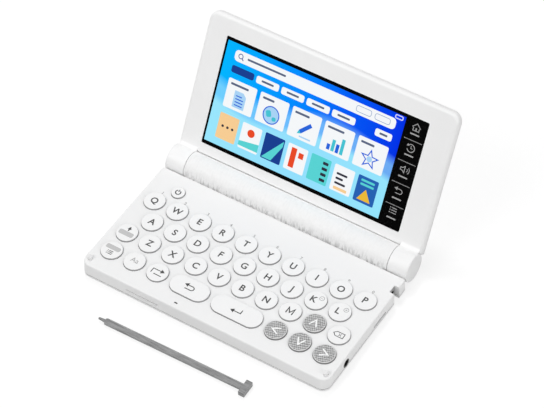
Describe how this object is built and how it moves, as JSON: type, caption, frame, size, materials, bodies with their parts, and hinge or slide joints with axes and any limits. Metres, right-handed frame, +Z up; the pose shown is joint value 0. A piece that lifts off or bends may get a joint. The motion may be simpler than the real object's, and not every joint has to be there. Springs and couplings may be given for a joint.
{
  "type": "electronic dictionary",
  "caption": "Pocket electronic dictionary: clamshell with a wide hinged screen, a round hinge barrel, round pressable keys and a loose stylus.",
  "frame": {"origin": "on the table, under the middle of the whole at rest: the open dictionary and the stylus in front", "axes": "+X to the user's right along the hinge, +Y to the back where the hinge is, +Z up; the lid is open 120 degrees at rest"},
  "size_m": [0.1488, 0.1558, 0.0803],
  "materials": {
    "case": "satin",
    "key": "satin",
    "arrow_key": "satin",
    "disc": "satin",
    "rubber": "matte",
    "rubber_pad": "matte",
    "mat": "matte",
    "board": "matte",
    "dark_part": "matte",
    "steel": "satin",
    "spring_steel": "gloss",
    "cell": "satin",
    "screen_glass": "gloss",
    "display": "gloss",
    "stylus_plastic": "satin",
    "cable": "matte"
  },
  "bodies": {
    "base": {"base_top_case": "case", "base_bottom_case": "case", "rubber_feet": "rubber", "lid_bumpers": "rubber_pad", "key_mat": "mat", "main_board": "board", "speaker_and_microphone": "dark_part", "audio_jack": "dark_part", "case_screws": "steel", "hinge_barrel": "case", "aa_cells": "cell", "battery_contacts": "spring_steel", "hinge_sleeves": "steel"},
    "lid": {"lid_bezel": "case", "lid_back_cover": "case", "screen_glass": "screen_glass", "display_panel": "display", "hinge_shafts": "steel", "hinge_end_discs": "disc", "display_cable": "cable"},
    "battery_cover": {"battery_cover": "case"},
    "stylus": {"stylus": "stylus_plastic"},
    "key_q": {"key_q": "key"},
    "key_w": {"key_w": "key"},
    "key_e": {"key_e": "key"},
    "key_r": {"key_r": "key"},
    "key_t": {"key_t": "key"},
    "key_y": {"key_y": "key"},
    "key_u": {"key_u": "key"},
    "key_i": {"key_i": "key"},
    "key_o": {"key_o": "key"},
    "key_p": {"key_p": "key"},
    "key_a": {"key_a": "key"},
    "key_s": {"key_s": "key"},
    "key_d": {"key_d": "key"},
    "key_f": {"key_f": "key"},
    "key_g": {"key_g": "key"},
    "key_h": {"key_h": "key"},
    "key_j": {"key_j": "key"},
    "key_k": {"key_k": "key"},
    "key_l": {"key_l": "key"},
    "key_shift": {"key_shift": "key"},
    "key_z": {"key_z": "key"},
    "key_x": {"key_x": "key"},
    "key_c": {"key_c": "key"},
    "key_v": {"key_v": "key"},
    "key_b": {"key_b": "key"},
    "key_n": {"key_n": "key"},
    "key_m": {"key_m": "key"},
    "key_up": {"key_up": "arrow_key"},
    "key_delete": {"key_delete": "key"},
    "key_list": {"key_list": "key"},
    "key_size": {"key_size": "key"},
    "key_jump": {"key_jump": "key"},
    "key_left": {"key_left": "arrow_key"},
    "key_down": {"key_down": "arrow_key"},
    "key_right": {"key_right": "arrow_key"},
    "key_back": {"key_back": "key"},
    "key_enter": {"key_enter": "key"},
    "key_power": {"key_power": "key"}
  },
  "joints": [
    {"name": "lid_hinge", "type": "hinge", "parent": "base", "child": "lid", "pos_m": [0, 0.02918, 0.0086], "axis": [-1, 0, 0], "range_deg": [-120, 30]},
    {"name": "key_q_press", "type": "slide", "parent": "base", "child": "key_q", "axis": [0, 0, -1], "range_m": [0, 0.0008], "stiffness_N_per_m": 600, "springref_m": -0.0003},
    {"name": "key_w_press", "type": "slide", "parent": "base", "child": "key_w", "axis": [0, 0, -1], "range_m": [0, 0.0008], "stiffness_N_per_m": 600, "springref_m": -0.0003},
    {"name": "key_e_press", "type": "slide", "parent": "base", "child": "key_e", "axis": [0, 0, -1], "range_m": [0, 0.0008], "stiffness_N_per_m": 600, "springref_m": -0.0003},
    {"name": "key_r_press", "type": "slide", "parent": "base", "child": "key_r", "axis": [0, 0, -1], "range_m": [0, 0.0008], "stiffness_N_per_m": 600, "springref_m": -0.0003},
    {"name": "key_t_press", "type": "slide", "parent": "base", "child": "key_t", "axis": [0, 0, -1], "range_m": [0, 0.0008], "stiffness_N_per_m": 600, "springref_m": -0.0003},
    {"name": "key_y_press", "type": "slide", "parent": "base", "child": "key_y", "axis": [0, 0, -1], "range_m": [0, 0.0008], "stiffness_N_per_m": 600, "springref_m": -0.0003},
    {"name": "key_u_press", "type": "slide", "parent": "base", "child": "key_u", "axis": [0, 0, -1], "range_m": [0, 0.0008], "stiffness_N_per_m": 600, "springref_m": -0.0003},
    {"name": "key_i_press", "type": "slide", "parent": "base", "child": "key_i", "axis": [0, 0, -1], "range_m": [0, 0.0008], "stiffness_N_per_m": 600, "springref_m": -0.0003},
    {"name": "key_o_press", "type": "slide", "parent": "base", "child": "key_o", "axis": [0, 0, -1], "range_m": [0, 0.0008], "stiffness_N_per_m": 600, "springref_m": -0.0003},
    {"name": "key_p_press", "type": "slide", "parent": "base", "child": "key_p", "axis": [0, 0, -1], "range_m": [0, 0.0008], "stiffness_N_per_m": 600, "springref_m": -0.0003},
    {"name": "key_a_press", "type": "slide", "parent": "base", "child": "key_a", "axis": [0, 0, -1], "range_m": [0, 0.0008], "stiffness_N_per_m": 600, "springref_m": -0.0003},
    {"name": "key_s_press", "type": "slide", "parent": "base", "child": "key_s", "axis": [0, 0, -1], "range_m": [0, 0.0008], "stiffness_N_per_m": 600, "springref_m": -0.0003},
    {"name": "key_d_press", "type": "slide", "parent": "base", "child": "key_d", "axis": [0, 0, -1], "range_m": [0, 0.0008], "stiffness_N_per_m": 600, "springref_m": -0.0003},
    {"name": "key_f_press", "type": "slide", "parent": "base", "child": "key_f", "axis": [0, 0, -1], "range_m": [0, 0.0008], "stiffness_N_per_m": 600, "springref_m": -0.0003},
    {"name": "key_g_press", "type": "slide", "parent": "base", "child": "key_g", "axis": [0, 0, -1], "range_m": [0, 0.0008], "stiffness_N_per_m": 600, "springref_m": -0.0003},
    {"name": "key_h_press", "type": "slide", "parent": "base", "child": "key_h", "axis": [0, 0, -1], "range_m": [0, 0.0008], "stiffness_N_per_m": 600, "springref_m": -0.0003},
    {"name": "key_j_press", "type": "slide", "parent": "base", "child": "key_j", "axis": [0, 0, -1], "range_m": [0, 0.0008], "stiffness_N_per_m": 600, "springref_m": -0.0003},
    {"name": "key_k_press", "type": "slide", "parent": "base", "child": "key_k", "axis": [0, 0, -1], "range_m": [0, 0.0008], "stiffness_N_per_m": 600, "springref_m": -0.0003},
    {"name": "key_l_press", "type": "slide", "parent": "base", "child": "key_l", "axis": [0, 0, -1], "range_m": [0, 0.0008], "stiffness_N_per_m": 600, "springref_m": -0.0003},
    {"name": "key_shift_press", "type": "slide", "parent": "base", "child": "key_shift", "axis": [0, 0, -1], "range_m": [0, 0.0008], "stiffness_N_per_m": 600, "springref_m": -0.0003},
    {"name": "key_z_press", "type": "slide", "parent": "base", "child": "key_z", "axis": [0, 0, -1], "range_m": [0, 0.0008], "stiffness_N_per_m": 600, "springref_m": -0.0003},
    {"name": "key_x_press", "type": "slide", "parent": "base", "child": "key_x", "axis": [0, 0, -1], "range_m": [0, 0.0008], "stiffness_N_per_m": 600, "springref_m": -0.0003},
    {"name": "key_c_press", "type": "slide", "parent": "base", "child": "key_c", "axis": [0, 0, -1], "range_m": [0, 0.0008], "stiffness_N_per_m": 600, "springref_m": -0.0003},
    {"name": "key_v_press", "type": "slide", "parent": "base", "child": "key_v", "axis": [0, 0, -1], "range_m": [0, 0.0008], "stiffness_N_per_m": 600, "springref_m": -0.0003},
    {"name": "key_b_press", "type": "slide", "parent": "base", "child": "key_b", "axis": [0, 0, -1], "range_m": [0, 0.0008], "stiffness_N_per_m": 600, "springref_m": -0.0003},
    {"name": "key_n_press", "type": "slide", "parent": "base", "child": "key_n", "axis": [0, 0, -1], "range_m": [0, 0.0008], "stiffness_N_per_m": 600, "springref_m": -0.0003},
    {"name": "key_m_press", "type": "slide", "parent": "base", "child": "key_m", "axis": [0, 0, -1], "range_m": [0, 0.0008], "stiffness_N_per_m": 600, "springref_m": -0.0003},
    {"name": "key_up_press", "type": "slide", "parent": "base", "child": "key_up", "axis": [0, 0, -1], "range_m": [0, 0.0008], "stiffness_N_per_m": 600, "springref_m": -0.0003},
    {"name": "key_delete_press", "type": "slide", "parent": "base", "child": "key_delete", "axis": [0, 0, -1], "range_m": [0, 0.0008], "stiffness_N_per_m": 600, "springref_m": -0.0003},
    {"name": "key_list_press", "type": "slide", "parent": "base", "child": "key_list", "axis": [0, 0, -1], "range_m": [0, 0.0008], "stiffness_N_per_m": 600, "springref_m": -0.0003},
    {"name": "key_size_press", "type": "slide", "parent": "base", "child": "key_size", "axis": [0, 0, -1], "range_m": [0, 0.0008], "stiffness_N_per_m": 600, "springref_m": -0.0003},
    {"name": "key_jump_press", "type": "slide", "parent": "base", "child": "key_jump", "axis": [0, 0, -1], "range_m": [0, 0.0008], "stiffness_N_per_m": 600, "springref_m": -0.0003},
    {"name": "key_left_press", "type": "slide", "parent": "base", "child": "key_left", "axis": [0, 0, -1], "range_m": [0, 0.0008], "stiffness_N_per_m": 600, "springref_m": -0.0003},
    {"name": "key_down_press", "type": "slide", "parent": "base", "child": "key_down", "axis": [0, 0, -1], "range_m": [0, 0.0008], "stiffness_N_per_m": 600, "springref_m": -0.0003},
    {"name": "key_right_press", "type": "slide", "parent": "base", "child": "key_right", "axis": [0, 0, -1], "range_m": [0, 0.0008], "stiffness_N_per_m": 600, "springref_m": -0.0003},
    {"name": "key_back_press", "type": "slide", "parent": "base", "child": "key_back", "axis": [0, 0, -1], "range_m": [0, 0.0008], "stiffness_N_per_m": 600, "springref_m": -0.0003},
    {"name": "key_enter_press", "type": "slide", "parent": "base", "child": "key_enter", "axis": [0, 0, -1], "range_m": [0, 0.0008], "stiffness_N_per_m": 600, "springref_m": -0.0003},
    {"name": "key_power_press", "type": "slide", "parent": "base", "child": "key_power", "axis": [0, 0, -1], "range_m": [0, 0.0008], "stiffness_N_per_m": 600, "springref_m": -0.0003},
    {"name": "battery_cover_slide", "type": "slide", "parent": "base", "child": "battery_cover", "axis": [0, 0, -1], "range_m": [0, 0.012]},
    {"name": "stylus_lift", "type": "slide", "parent": "base", "child": "stylus", "axis": [0, 0, 1], "range_m": [0, 0.06]}
  ]
}
